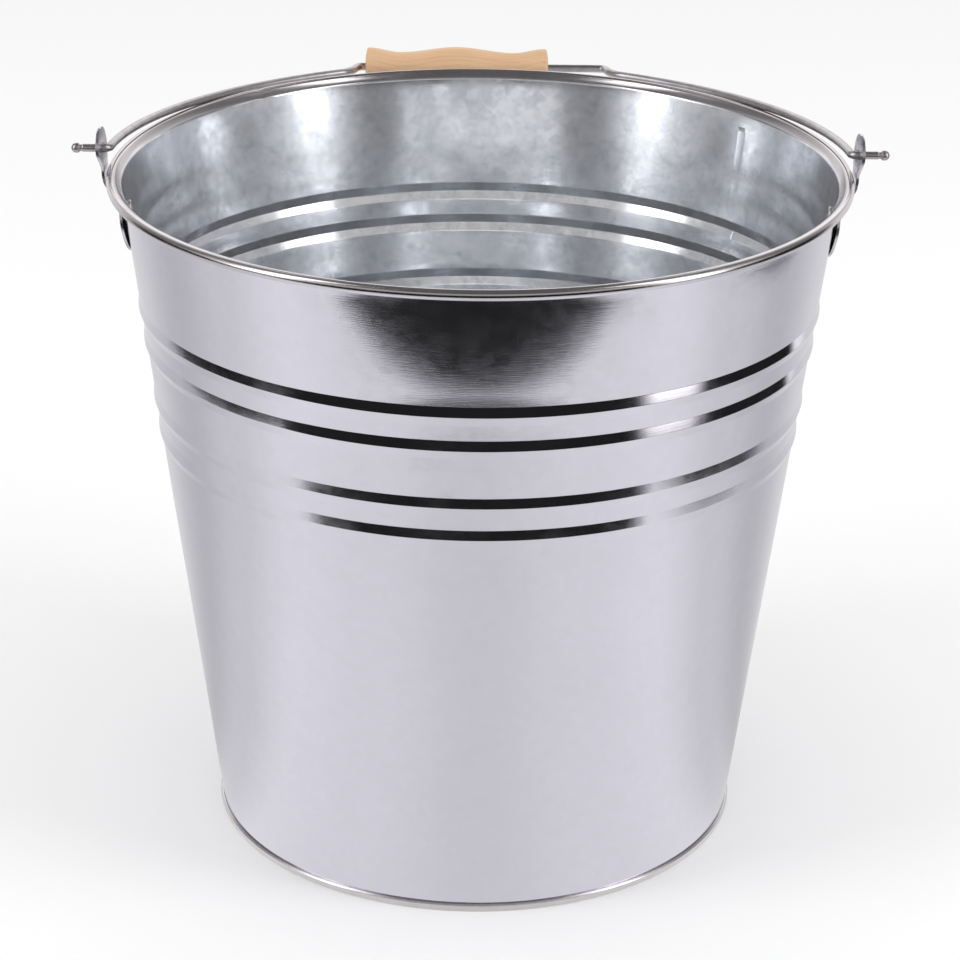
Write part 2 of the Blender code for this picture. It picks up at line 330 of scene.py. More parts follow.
def read_off(knots, at):
    """Value at a place between knots of (place, value)."""
    places, values = zip(*knots)
    return float(np.interp(at, places, values))


def rounded(corners, step):
    """A path through corners of (a, b, rounding radius), each corner turned into an arc."""
    points = [Vector(corners[0][:2])]
    for before, corner, after in zip(corners, corners[1:], corners[2:]):
        tip = Vector(corner[:2])
        into = (tip - Vector(before[:2])).normalized()
        out = (Vector(after[:2]) - tip).normalized()
        turn = into.angle_signed(out)
        radius = corner[2]
        if abs(turn) < 1e-4 or radius == 0.0:
            points.append(tip)
            continue
        reach = radius * math.tan(abs(turn) / 2)
        start = tip - into * reach
        side = Vector((-into.y, into.x)) * (-1.0 if turn > 0 else 1.0)
        centre = start + side * radius
        pieces = max(2, math.ceil(abs(turn) / step))
        for i in range(pieces + 1):
            angle = -turn * i / pieces
            points.append(centre + Matrix.Rotation(angle, 2) @ (start - centre))
    points.append(Vector(corners[-1][:2]))
    return points


def filled_in(points, gap):
    """The same path with extra points, so that none are further apart than gap."""
    path = [points[0]]
    for first, second in zip(points, points[1:]):
        pieces = max(1, math.ceil((second - first).length / gap))
        path += [first.lerp(second, (i + 1) / pieces) for i in range(pieces)]
    return path


def sheet_section(middle, thickness):
    """Closed outline of a sheet whose middle line is given."""
    sides = []
    for i, point in enumerate(middle):
        ahead = middle[min(i + 1, len(middle) - 1)]
        behind = middle[max(i - 1, 0)]
        run = (ahead - behind).normalized()
        sides.append(Vector((run.y, -run.x)) * thickness / 2)
    outer = [p + s for p, s in zip(middle, sides)]
    inner = [p - s for p, s in zip(middle, sides)]
    return outer + inner[::-1] + outer[:1]


def edge_mesh(name, points, thickness=None):
    """Edges through 3-D points, with an optional thickness attribute for a wire."""
    mesh = bpy.data.meshes.new(name)
    mesh.from_pydata([tuple(p) for p in points], [(i, i + 1) for i in range(len(points) - 1)], [])
    if thickness:
        attribute = mesh.attributes.new("thickness", "FLOAT", "POINT")
        attribute.data.foreach_set("value", thickness)
    return mesh


def turned(name, profile, steps, material, waviness=0.0, first_angle=0.0):
    """A piece turned about Z from a profile of (radius, height)."""
    mesh = edge_mesh(name + "_profile", [(r, 0.0, z) for r, z in profile])
    sizes = {
        "Steps": steps,
        "First Angle": first_angle,
        "Waviness": waviness,
        "Material": material,
    }
    return baked(name, mesh, TURNING, sizes)


def points_of(mesh):
    flat = np.empty(len(mesh.vertices) * 3, np.float32)
    mesh.vertices.foreach_get("co", flat)
    return flat.reshape(-1, 3).astype(float)


def set_points(mesh, points):
    mesh.vertices.foreach_set("co", points.astype(np.float32).ravel())
    mesh.update()


def face_outwards(obj):
    """Joins points that lie together, and turns every face of a closed piece outwards."""
    bm = bmesh.new()
    bm.from_mesh(obj.data)
    bmesh.ops.remove_doubles(bm, verts=bm.verts, dist=SAME_PLACE)
    bmesh.ops.recalc_face_normals(bm, faces=bm.faces)
    bm.to_mesh(obj.data)
    bm.free()


# ---------------------------------------------------------------- finishes

def finish(name, metallic=1.0):
    """A new material, with its tree, its shader and where on the object a point is."""
    mat = bpy.data.materials.new(name)
    mat.use_nodes = True
    tree = Tree(mat.node_tree)
    shader = mat.node_tree.nodes["Principled BSDF"]
    shader.inputs["Metallic"].default_value = metallic
    where = tree.add("ShaderNodeTexCoord").outputs["Object"]
    return mat, tree, shader, where


def rolled_zinc(name, bright, dull, smoothness, cloud, spangle, metallic):
    """Zinc on rolled sheet: fine level scratches, cloudy bloom and faint crystals."""
    mean_radius = 0.13
    haze_share, grain_share, rim_share = 0.15, 0.05, 0.09
    # colour of the band at the rim, darker than the rest of the sheet
    dulled_rim = (0.60, 0.57, 0.58, 1.0)
    mat, tree, shader, where = finish(name, metallic)
    parts = tree.add("ShaderNodeSeparateXYZ", {0: where})
    angle = tree.math("ARCTAN2", parts.outputs["Y"], parts.outputs["X"])
    round_way = tree.math("MULTIPLY", angle, mean_radius)
    unrolled = tree.add("ShaderNodeCombineXYZ", {"X": round_way, "Y": parts.outputs["Z"]})

    grain_space = tree.vector_math("MULTIPLY", unrolled, (90.0, 2600.0, 1.0))
    grain = tree.noise(grain_space, 1.0, 3.0, 0.6)
    bloom = tree.noise(where, 38.0, 5.0, 0.62)
    patches = tree.noise(where, 11.0, 2.0, 0.5)
    crystals = tree.add(
        "ShaderNodeTexVoronoi", {"Vector": where, "Scale": 230.0, "Randomness": 1.0}
    ).outputs["Color"]
    crystal = tree.add("ShaderNodeSeparateColor", {0: crystals}).outputs[0]

    haze = tree.math("MULTIPLY", tree.remap(bloom, 0.36, 0.76), tree.remap(patches, 0.28, 0.66))
    haze = tree.math("MULTIPLY", haze, cloud)
    rough = tree.math("ADD", smoothness, tree.math("MULTIPLY", haze, haze_share))
    rough = tree.math("ADD", rough, tree.math("MULTIPLY", crystal, spangle))
    rough = tree.math("ADD", rough, tree.math("MULTIPLY", grain, grain_share))
    # band over the flare and curl at the rim, made darker and rougher
    dulled = tree.remap(parts.outputs["Z"], NECK_Z - 0.4 * MM, NECK_Z + 1.2 * MM)
    rough = tree.math("ADD", rough, tree.math("MULTIPLY", dulled, rim_share))
    tree.feed(shader.inputs["Roughness"], rough)

    tone = tree.math("MULTIPLY", crystal, 0.35)
    tone = tree.math("ADD", tone, tree.remap(patches, 0.3, 0.7, 0.0, 0.45))
    mottle = tree.remap(tree.noise(where, 150.0, 4.0, 0.7), 0.40, 0.72, 0.0, 12.0 * spangle)
    tone = tree.math("ADD", tone, mottle)
    colour = tree.blend(tone, (*bright, 1.0), (*dull, 1.0))
    colour = tree.blend(dulled, colour, dulled_rim)
    tree.feed(shader.inputs["Base Color"], colour)

    height = tree.math("MULTIPLY", grain, 0.6)
    height = tree.math("ADD", height, tree.math("MULTIPLY", crystal, 3.0 * spangle))
    height = tree.math("ADD", height, tree.math("MULTIPLY", bloom, 1.2))
    bump = tree.add(
        "ShaderNodeBump", {"Height": height, "Strength": 0.35, "Distance": 0.00003}
    )
    tree.feed(shader.inputs["Normal"], bump)
    return mat


def drawn_zinc(name, bright, dull, roughness):
    """Zinc on drawn wire and small pressings: fine speckle, small runs and rubbed places."""
    mat, tree, shader, where = finish(name)
    speckle = tree.noise(where, 1400.0, 2.0, 0.6)
    runs = tree.noise(where, 160.0, 3.0, 0.6, 0.5)
    rough = tree.math("ADD", roughness, tree.math("MULTIPLY", speckle, 0.12))
    tree.feed(shader.inputs["Roughness"], rough)
    tone = tree.remap(runs, 0.35, 0.70)
    tree.feed(shader.inputs["Base Color"], tree.blend(tone, (*bright, 1.0), (*dull, 1.0)))
    height = tree.math("ADD", tree.math("MULTIPLY", speckle, 0.3), runs)
    bump = tree.add("ShaderNodeBump", {"Height": height, "Strength": 0.4, "Distance": 0.00006})
    tree.feed(shader.inputs["Normal"], bump)
    return mat


def turned_beech():
    """Pale beech: long grain with short dark flecks, growth rings on the ends, satin lacquer."""
    mat, tree, shader, where = finish("turned_beech", metallic=0.0)
    tree_heart = GRIP_CENTRE + Vector((0.0, 0.02, 0.012))
    moved = tree.add("ShaderNodeMapping", {"Vector": where, "Location": tuple(-tree_heart)})
    stretched = tree.vector_math("MULTIPLY", moved, (14.0, 260.0, 260.0))
    fibre = tree.noise(stretched, 1.0, 4.0, 0.65)
    fleck_space = tree.vector_math("MULTIPLY", moved, (240.0, 1500.0, 1500.0))
    flecks = tree.noise(fleck_space, 1.0, 1.0, 0.5)
    ring_space = tree.vector_math("MULTIPLY", moved, (0.25, 1.0, 1.0))
    rings = tree.add(
        "ShaderNodeTexWave",
        {"Vector": ring_space, "Scale": 190.0, "Distortion": 1.6, "Detail": 2.0,
         "Detail Scale": 1.2},
        wave_type="RINGS",
        rings_direction="X",
    ).outputs[0]
    tone = tree.math("ADD", tree.math("MULTIPLY", fibre, 0.78), tree.math("MULTIPLY", rings, 0.14))
    wood = tree.ramp(
        tone,
        [(0.22, (0.56, 0.345, 0.185)), (0.50, (0.640, 0.410, 0.232)),
         (0.80, (0.700, 0.480, 0.290))],
    )
    fleck = tree.remap(flecks, 0.66, 0.76, 0.0, 0.35)
    tree.feed(shader.inputs["Base Color"], tree.blend(fleck, wood, (0.40, 0.21, 0.10, 1.0)))
    tree.feed(shader.inputs["Roughness"], tree.remap(fibre, 0.2, 0.8, 0.40, 0.52))
    shader.inputs["Coat Weight"].default_value = 0.15
    shader.inputs["Coat Roughness"].default_value = 0.35
    pores = tree.math("MULTIPLY", fleck, 0.8)
    height = tree.math("SUBTRACT", tree.math("MULTIPLY", fibre, 0.6), pores)
    bump = tree.add("ShaderNodeBump", {"Height": height, "Strength": 0.35, "Distance": 0.0001})
    tree.feed(shader.inputs["Normal"], bump)
    return mat


# ---------------------------------------------------------------- bucket

def wall_middle():
    """Middle line of the wall's sheet, from the flange in the base seam up into the curl."""
    slope = math.tan(TAPER)

    def taper(z):
        return FOOT_R + (z - FOOT_Z) * slope

    corners = [(CHIME_R - SHEET - 0.55 * MM, FOOT_Z, 0.0), (FOOT_R, FOOT_Z, 0.35 * MM)]
    for drop, stand, hollow in reversed(BEADS):
        crest = HEIGHT - drop
        under = crest - BEAD_FALL
        if hollow:
            settle = under - 5.5 * MM
            corners.append((taper(settle), settle, 20 * MM))
        corners.append((taper(under) - hollow, under, 2.2 * MM))
        corners.append((taper(crest) + stand, crest, 1.0 * MM))
        above = crest + BEAD_RISE
        corners.append((taper(above), above, 1.6 * MM))
    corners.append((NECK_R, NECK_Z, 1.2 * MM))
    reach = math.radians(160)

    def on_curl(angle):
        return Vector(CURL_CENTRE) + CURL_R * Vector((math.cos(angle), math.sin(angle)))

    corners.append((*on_curl(reach), 0.0))
    path = filled_in(rounded(corners, math.radians(6)), 5.5 * MM)
    pieces = 24
    path += [on_curl(reach - 2 * reach * i / pieces) for i in range(1, pieces + 1)]
    return path


def falloff(distance, reach):
    """1 at the middle, 0 from reach outwards, smooth at both ends."""
    t = np.clip(1.0 - np.abs(distance) / reach, 0.0, 1.0)
    return t * t * (3.0 - 2.0 * t)


def turned_by(angles, middle):
    """Angle from a direction, wrapped to half a turn either way."""
    return (angles - middle + math.pi) % math.tau - math.pi


def work_marks(mesh):
    """Marks that making left: creases by the ears, two dimples, a nick where the rim's ends meet."""
    crease, dimple, nick_depth = 0.45 * MM, 0.35 * MM, 0.5 * MM
    points = points_of(mesh)
    radius = np.hypot(points[:, 0], points[:, 1])
    angle = np.arctan2(points[:, 1], points[:, 0])
    drop = HEIGHT - points[:, 2]
    push = np.zeros(len(points))
    for side_angle in (0.0, math.pi):
        round_way = turned_by(angle, side_angle) * RIM_R
        plain = (drop > 6 * MM) * falloff(drop - 18 * MM, 15 * MM)
        push -= crease * falloff(round_way, 20 * MM) * plain
    for degrees in (94, 85):
        round_way = turned_by(angle, math.radians(degrees)) * RIM_R
        push -= dimple * falloff(round_way, 5 * MM) * falloff(drop - 33 * MM, 8 * MM)
    nick = falloff(turned_by(angle, RIM_JOINT_ANGLE) * RIM_R, 4 * MM) * (drop < 3.5 * MM)
    push -= nick_depth * nick
    scale = (radius + push) / radius
    points[:, 0] *= scale
    points[:, 1] *= scale
    points[:, 2] -= 0.35 * MM * nick
    set_points(mesh, points)


def make_wall(zinc_out, zinc_in_painted_lighter):
    """Rolled wall with its beads and curl. Its inner face has a finish of its own, with more crystals
    and cloud, and a colour painted lighter than the outside's to stand in for light inside the bucket.
    """
    ripple = 0.45 * MM
    profile = [(p.x, p.y) for p in sheet_section(wall_middle(), SHEET)]
    wall = turned("pail_wall", profile, WALL_STEPS, zinc_out, ripple, SEAM_ANGLE)
    face_outwards(wall)
    work_marks(wall.data)
    wall.data.materials.append(zinc_in_painted_lighter)
    for polygon in wall.data.polygons:
        c = polygon.center
        inwards = polygon.normal.x * c.x + polygon.normal.y * c.y < 0
        below_flare = c.z < NECK_Z + 0.6 * MM and math.hypot(c.x, c.y) < NECK_R + MM
        polygon.material_index = 1 if inwards and below_flare else 0
    return wall


def make_base(zinc):
    """Floor pan with its edge rolled round the wall's foot."""
    inner = CHIME_R - 2.35 * MM
    top = BASE_HIGH.z - SHEET / 2
    outer = CHIME_R - SHEET / 2
    lift = 2.65 * MM
    step_r, step_up = 96 * MM, 0.8 * MM
    corners = [
        (FOOT_R + 0.55 * MM + SHEET / 2, top - 0.35 * MM, 0.0),
        (FOOT_R + 0.85 * MM + SHEET / 2, top, 0.25 * MM),
        (outer, top, 0.75 * MM),
        (outer, SHEET / 2, 0.75 * MM),
        (inner, SHEET / 2, 0.45 * MM),
        (inner, lift, 0.6 * MM),
        (step_r, lift, 6 * MM),
        (step_r - 3 * MM, lift + step_up, 6 * MM),
        (0.0, lift + step_up, 0.0),
    ]
    middle = filled_in(rounded(corners, math.radians(15)), 8 * MM)
    section = sheet_section(middle, SHEET)
    profile = [(max(p.x, 0.0), p.y) for p in section]
    base = turned("pail_base", profile, BASE_STEPS, zinc)
    face_outwards(base)
    return base


def make_seam(zinc_out, zinc_in_painted_lighter):
    """Lock seam down the wall: a flat fold outside, and the edge of the lap inside."""
    foot, head = 3.6 * MM, NECK_Z - 0.5 * MM
    middle = [p for p in wall_middle() if CHIME_R - 2 * MM < p.x and foot < p.y < head]
    middle = filled_in(middle, 2.0 * MM)
    bm = bmesh.new()

    def strip(shift, width, proud, finish_index):
        """A flat strip with rounded edges, on one face of the sheet."""
        half = width / 2
        edge = abs(proud)
        section = [(-half, 0.0), (-half + 0.15 * edge, 0.62), (-half + 0.6 * edge, 0.95)]
        section += [(-half + 1.6 * edge, 1.0), (0.0, 1.0)]
        section += [(-a, b) for a, b in reversed(section[:-1])]
        rows = []
        for i, point in enumerate(middle):
            ahead = middle[min(i + 1, len(middle) - 1)]
            behind = middle[max(i - 1, 0)]
            run = (ahead - behind).normalized()
            out = Vector((run.y, -run.x))
            on_sheet = point + out * math.copysign(SHEET / 2 - 0.02 * MM, proud)
            end = min(i, len(middle) - 1 - i, 2) / 2
            row = []
            for a, b in section:
                radius, z = on_sheet + out * proud * b * end
                angle = SEAM_ANGLE + (a + shift) / radius
                place = (radius * math.cos(angle), radius * math.sin(angle), z)
                row.append(bm.verts.new(place))
            rows.append(row)
        for first, second in zip(rows, rows[1:]):
            for a in range(len(first)):
                b = (a + 1) % len(first)
                quad = bm.faces.new((first[a], first[b], second[b], second[a]))
                quad.material_index = finish_index
        bm.faces.new(rows[0])
        bm.faces.new(rows[-1])

    strip(0.0, 6.5 * MM, 0.95 * MM, 0)
    strip(2.0 * MM, 5.0 * MM, -0.22 * MM, 1)
    bmesh.ops.remove_doubles(bm, verts=bm.verts, dist=SAME_PLACE)
    bmesh.ops.recalc_face_normals(bm, faces=bm.faces)
    for face in bm.faces:
        face.smooth = True
    mesh = bpy.data.meshes.new("side_seam")
    bm.to_mesh(mesh)
    bm.free()
    mesh.materials.append(zinc_out)
    mesh.materials.append(zinc_in_painted_lighter)
    return placed("side_seam", mesh)


# ---------------------------------------------------------------- ears and rivets

def wall_face(z):
    """Outside radius of the plain wall at a height."""
    return FOOT_R + SHEET / 2 / math.cos(TAPER) + (z - FOOT_Z) * math.tan(TAPER)


def ear_outline():
    """Face-on outline of the ear: (y, z), with a neck where it passes the rim."""
    lower = HEIGHT - EAR_LEAF_DROP
    neck = HEIGHT - 2.0 * MM
    points = []
    count = 96
    top = PIN_Z + EAR_TIP_R
    bottom = lower - EAR_HALF
    for i in range(count + 1):
        z = bottom + (top - bottom) * eased(i / count)
        if z < lower:
            half = math.sqrt(max(EAR_HALF ** 2 - (z - lower) ** 2, 0.0))
        elif z < neck:
            share = eased((z - lower) / (neck - lower))
            half = EAR_HALF + (EAR_NECK_HALF - EAR_HALF) * share
        elif z < PIN_Z:
            share = eased((z - neck) / (PIN_Z - neck))
            half = EAR_NECK_HALF + (EAR_TIP_R - EAR_NECK_HALF) * share
        else:
            half = math.sqrt(max(EAR_TIP_R ** 2 - (z - PIN_Z) ** 2, 0.0))
        points.append((half, z))
    return points + [(-y, z) for y, z in reversed(points[1:-1])]


def ear_face(y, z):
    """X of the +X ear's inner face at a place on it: along the wall, then out over the rim."""
    clearance, cupping, bend = 0.30 * MM, 0.9 * MM, 6 * MM
    below_tip = HEIGHT - EAR_LEAF_DROP - EAR_HALF - 5 * MM
    knots = [
        (below_tip, wall_face(below_tip)),
        (HEIGHT - 14.5 * MM, wall_face(HEIGHT - 14.5 * MM)),
        (HEIGHT - 5.5 * MM, RIM_R + 0.35 * MM),
        (HEIGHT + 1.0 * MM, RIM_R + 0.45 * MM),
        (PIN_Z, 151.6 * MM),
        (HEIGHT + 20 * MM, 152.0 * MM),
    ]
    span = 2.6 * MM
    x = 0.0
    for shift, weight in ((-span, 0.25), (0.0, 0.5), (span, 0.25)):
        x += weight * read_off(knots, z + shift)
    above = min(max((z - HEIGHT) / bend, 0.0), 1.0)
    below = min(max((HEIGHT - 8 * MM - z) / bend, 0.0), 1.0)
    x += clearance - y * math.tan(EAR_TWIST) * above
    x += cupping * (y / EAR_HALF) ** 2 * below
    return x


def plate_with_holes(outline, holes):
    """A flat plate in YZ with round holes, cut into narrow rows so that it can be bent."""
    curve = bpy.data.curves.new("plate", "CURVE")
    curve.dimensions = "2D"
    curve.fill_mode = "BOTH"
    loops = [outline]
    sides = 32
    for centre_z, radius in holes:
        angles = [math.tau * i / sides for i in range(sides)]
        loops.append([(radius * math.cos(a), centre_z + radius * math.sin(a)) for a in angles])
    for loop in loops:
        spline = curve.splines.new("POLY")
        spline.points.add(len(loop) - 1)
        for point, (y, z) in zip(spline.points, loop):
            point.co = (y, z, 0.0, 1.0)
        spline.use_cyclic_u = True
    flat = placed("plate", curve)
    mesh = evaluated_mesh(flat)
    bpy.data.objects.remove(flat)
    bm = bmesh.new()
    bm.from_mesh(mesh)
    bmesh.ops.remove_doubles(bm, verts=bm.verts, dist=0.000001)
    low = min(z for _, z in outline)
    high = max(z for _, z in outline)
    rows, columns = 40, 10
    cuts = [((0, low + (high - low) * i / rows, 0), (0, 1, 0)) for i in range(1, rows)]
    cuts += [((-EAR_HALF + 2 * EAR_HALF * i / columns, 0, 0), (1, 0, 0)) for i in range(1, columns)]
    for place, across in cuts:
        geometry = bm.verts[:] + bm.edges[:] + bm.faces[:]
        bmesh.ops.bisect_plane(bm, geom=geometry, plane_co=place, plane_no=across)
    bmesh.ops.dissolve_degenerate(bm, edges=bm.edges, dist=0.000005)
    bm.to_mesh(mesh)
    bm.free()
    return mesh


def make_ear(word, side, zinc):
    """Pressed ear on the side -1 or +1, cut flat, bent to the wall and given its thickness."""
    rivet_z = HEIGHT - RIVET_DROP
    holes = [(PIN_Z, WIRE_R + 0.3 * MM), (rivet_z, RIVET_R + 0.2 * MM)]
    mesh = plate_with_holes(ear_outline(), holes)
    bm = bmesh.new()
    bm.from_mesh(mesh)
    for vert in bm.verts:
        y, z = vert.co.x, vert.co.y
        vert.co = (side * ear_face(y, z), y, z)
    bm.normal_update()
    if sum(face.normal.x * face.calc_area() for face in bm.faces) * side < 0:
        bmesh.ops.reverse_faces(bm, faces=bm.faces[:])
    for face in bm.faces:
        face.smooth = True
    bm.to_mesh(mesh)
    bm.free()
    mesh.name = f"bail_ear_{word}"
    mesh.materials.clear()
    mesh.materials.append(zinc)
    ear = placed(f"bail_ear_{word}", mesh)
    sheet = ear.modifiers.new("Sheet", "SOLIDIFY")
    sheet.thickness = EAR_SHEET
    sheet.offset = 1.0
    sheet.use_even_offset = True
    edge = ear.modifiers.new("Worn edge", "BEVEL")
    edge.width = 0.25 * MM
    edge.segments = 3
    edge.limit_method = "ANGLE"
    edge.angle_limit = math.radians(50)
    return ear


def make_rivet(word, side, steel):
    """Domed head outside the ear, and a small upset end inside the bucket."""
    outwards = Vector((side * math.cos(TAPER), 0.0, -math.sin(TAPER)))
    rivet_z = HEIGHT - RIVET_DROP
    seat = Vector((side * wall_face(rivet_z), 0.0, rivet_z))
    face = EAR_SHEET + 0.25 * MM
    inside = -SHEET - 0.55 * MM
    profile = []
    dome, dome_steps = 1.45 * MM, 12
    for i in range(dome_steps + 1):
        angle = math.pi / 2 * (1 - i / dome_steps)
        profile.append((RIVET_HEAD_R * math.cos(angle), face + dome * math.sin(angle)))
    profile += [
        (RIVET_HEAD_R - 0.15 * MM, face - 0.08 * MM),
        (RIVET_R, face - 0.08 * MM),
        (RIVET_R, inside + 0.2 * MM),
        (2.7 * MM, inside + 0.2 * MM),
        (2.95 * MM, inside),
        (2.8 * MM, inside - 0.35 * MM),
        (2.2 * MM, inside - 0.65 * MM),
        (1.4 * MM, inside - 0.80 * MM),
        (1.2 * MM, inside - 0.55 * MM),
        (0.0, inside - 0.45 * MM),
    ]
    rivet = turned(f"domed_rivet_{word}", profile, RIVET_STEPS, steel)
    turn = Vector((0, 0, 1)).rotation_difference(outwards).to_matrix().to_4x4()
    rivet.data.transform(Matrix.Translation(seat) @ turn)
    face_outwards(rivet)
    return rivet


# ---------------------------------------------------------------- bail and grip

def half_bail():
    """Centre line of the +X half in the bail's plane, from the pin's end to the straight stretch."""
    start, end = math.radians(5), math.radians(59)
    bend = 3.0 * MM
    centre = Vector((ARM_X, bend + MM)) - ARM_BEND_R * Vector((math.cos(start), math.sin(start)))
    arm = []
    pieces = 48
    for i in range(pieces + 1):
        angle = start + (end - start) * i / pieces
        arm.append(centre + ARM_BEND_R * Vector((math.cos(angle), math.sin(angle))))
    corners = [
        (PIN_END, 0.0, 0.0),
        (ARM_X + 0.05 * MM, 0.0, bend),
        (arm[0].x, arm[0].y + 2.2 * MM, 0.0),
    ]
    shoulder = rounded(corners, math.radians(10))
    knee = rounded([
        (arm[-2].x, arm[-2].y, 0.0),
        (STRAIGHT_HALF + KNEE_OUT + 0.8 * MM, arm[-1].y + 3.0 * MM, 4 * MM),
        (STRAIGHT_HALF + KNEE_OUT - 1.3 * MM, GRIP_REACH - 0.4 * MM, 3 * MM),
        (STRAIGHT_HALF - 3.0 * MM, GRIP_REACH, 0.0),
    ], math.radians(8))
    return shoulder[:-1] + arm[1:-2] + knee


def pin_swell(back):
    """Thickness of the pin, as a share of the wire's: a ball, a pinched neck and a plain shank."""
    ball = PIN_HEAD_R / WIRE_R
    if back < PIN_HEAD_R:
        return ball * math.sqrt(max(1 - (1 - back / PIN_HEAD_R) ** 2, 0.01))
    knots = [(PIN_HEAD_R, ball), (2.9 * MM, 0.97 * ball), (3.6 * MM, 0.80), (4.2 * MM, 0.80),
             (4.9 * MM, 0.94), (9.0 * MM, 0.94), (14.0 * MM, 1.0)]
    return read_off(knots, back)


def make_bail(zinc):
    """The bail is laid out flat, then swung to where it rests."""
    path = half_bail()
    shank = Vector((PIN_END - 2 * PIN_HEAD_LENGTH, 0.0))
    pin = filled_in([path[0], shank], 0.25 * MM)
    right = pin + filled_in([shank] + path[1:], 2.5 * MM)[1:]
    thickness = [pin_swell(PIN_END - p.x) if abs(p.y) < 1e-6 else 1.0 for p in right]
    left = [Vector((-p.x, p.y)) for p in reversed(right)]
    path = [(p.x, p.y, 0.0) for p in right + left]
    mesh = edge_mesh("bail_path", path, thickness + thickness[::-1])
    sizes = {"Radius": WIRE_R, "Sides": WIRE_SIDES, "Material": zinc}
    bail = baked("bail_rod", mesh, WIRE, sizes)
    swing = Matrix.Translation((0.0, 0.0, PIN_Z)) @ Matrix.Rotation(BAIL_REST, 4, "X")
    bail.data.transform(swing)
    face_outwards(bail)
    return bail


def make_grip(wood):
    """Turned grip: broad ends, waists near them and a full belly, on a bore that clears the wire."""
    half = GRIP_LENGTH / 2
    waist_at = 0.62 * half
    corner = 0.9 * MM
    dome = 0.7 * MM
    shoulder = half - dome - corner
    mouth_r = GRIP_BORE_R + 0.3 * MM
    points = [(GRIP_BORE_R, half - 0.4 * MM), (mouth_r, half)]
    for i in range(1, 6):
        t = i / 6
        points.append((mouth_r + (GRIP_END_R - corner - mouth_r) * t, half - dome * t * t))
    arc = 6
    for i in range(arc + 1):
        angle = math.radians(80) * (1 - i / arc)
        points.append((
            GRIP_END_R - corner + corner * math.cos(angle),
            shoulder + corner * math.sin(angle),
        ))
    steps = 22
    runs = ((GRIP_END_R, shoulder, GRIP_WAIST_R, waist_at), (GRIP_WAIST_R, waist_at, GRIP_BELLY_R, 0.0))
    for from_r, from_z, to_r, to_z in runs:
        for i in range(1, steps + 1):
            t = i / steps
            points.append((from_r + (to_r - from_r) * eased(t), from_z + (to_z - from_z) * t))
    points += [(radius, -z) for radius, z in reversed(points[:-1])]
    points.append(points[0])
    grip = turned("beech_grip", points, GRIP_STEPS, wood)
    lie = Matrix.Rotation(BAIL_REST, 4, "X") @ Matrix.Rotation(math.pi / 2, 4, "Y")
    grip.data.transform(Matrix.Translation(GRIP_CENTRE) @ lie)
    face_outwards(grip)
    return grip


# ---------------------------------------------------------------- studio

def only_for(obj, camera=False, glossy=False, diffuse=False, shadow=False):
    """Shows a stage piece to some kinds of ray only."""
    obj.visible_camera = camera
    obj.visible_glossy = glossy
    obj.visible_diffuse = diffuse
    obj.visible_shadow = shadow
    obj.visible_transmission = False


def stage_plane(name, corners, material):
    mesh = bpy.data.meshes.new(name)
    mesh.from_pydata(corners, [], [tuple(range(len(corners)))])
    mesh.materials.append(material)
    plane = placed(name, mesh)
    return plane


def glow(name):
    """An empty material, for a surface that only shines."""
    mat = bpy.data.materials.new(name)
    mat.use_nodes = True
    mat.node_tree.nodes.clear()
    return mat, Tree(mat.node_tree)


def make_floor():
    mat = bpy.data.materials.new("pale_floor")
    mat.use_nodes = True
    shader = mat.node_tree.nodes["Principled BSDF"]
    shader.inputs["Base Color"].default_value = (0.90, 0.90, 0.90, 1.0)
    shader.inputs["Roughness"].default_value = 0.9
    shader.inputs["Specular IOR Level"].default_value = 0.0
    reach = 30.0
    corners = [(-reach, -reach, 0), (reach, -reach, 0), (reach, reach, 0), (-reach, reach, 0)]
    floor = stage_plane("studio_floor", corners, mat)
    only_for(floor, camera=True, diffuse=True, shadow=True)


def make_table_glow():
    """What the metal sees of the pale table: bright, with two brighter lobes towards the lamps."""
    mat, tree = glow("table_glow")
    where = tree.add("ShaderNodeTexCoord").outputs["Object"]
    parts = tree.add("ShaderNodeSeparateXYZ", {0: where})
    back = tree.math("MULTIPLY", parts.outputs["Y"], -1.0)
    angle = tree.math("ABSOLUTE", tree.math("ARCTAN2", parts.outputs["X"], back))
    level = tree.ramp(
        tree.math("DIVIDE", angle, math.pi),
        [(0.0, (0.70,) * 3), (0.18, (0.79,) * 3), (0.33, (0.85,) * 3), (0.47, (0.69,) * 3),
         (0.60, (0.56,) * 3), (0.78, (0.72,) * 3), (1.0, (0.80,) * 3)],
    )
    shine = tree.add("ShaderNodeEmission", {"Color": level, "Strength": 1.0})
    tree.add("ShaderNodeOutputMaterial", {0: shine})
    left, right, far = -0.80, 0.615, 1.1
    near, bow, bow_ends, edge_pieces = -0.464, 0.30, 0.45, 35
    corners = []
    for i in range(edge_pieces + 1):
        x = left + (right - left) * i / edge_pieces
        corners.append((x, near + bow * min(abs(x), bow_ends) ** 2, 0.0))
    corners += [(right, far, 0.0), (left, far, 0.0)]
    card = stage_plane("table_glow", corners, mat)
    only_for(card, glossy=True)


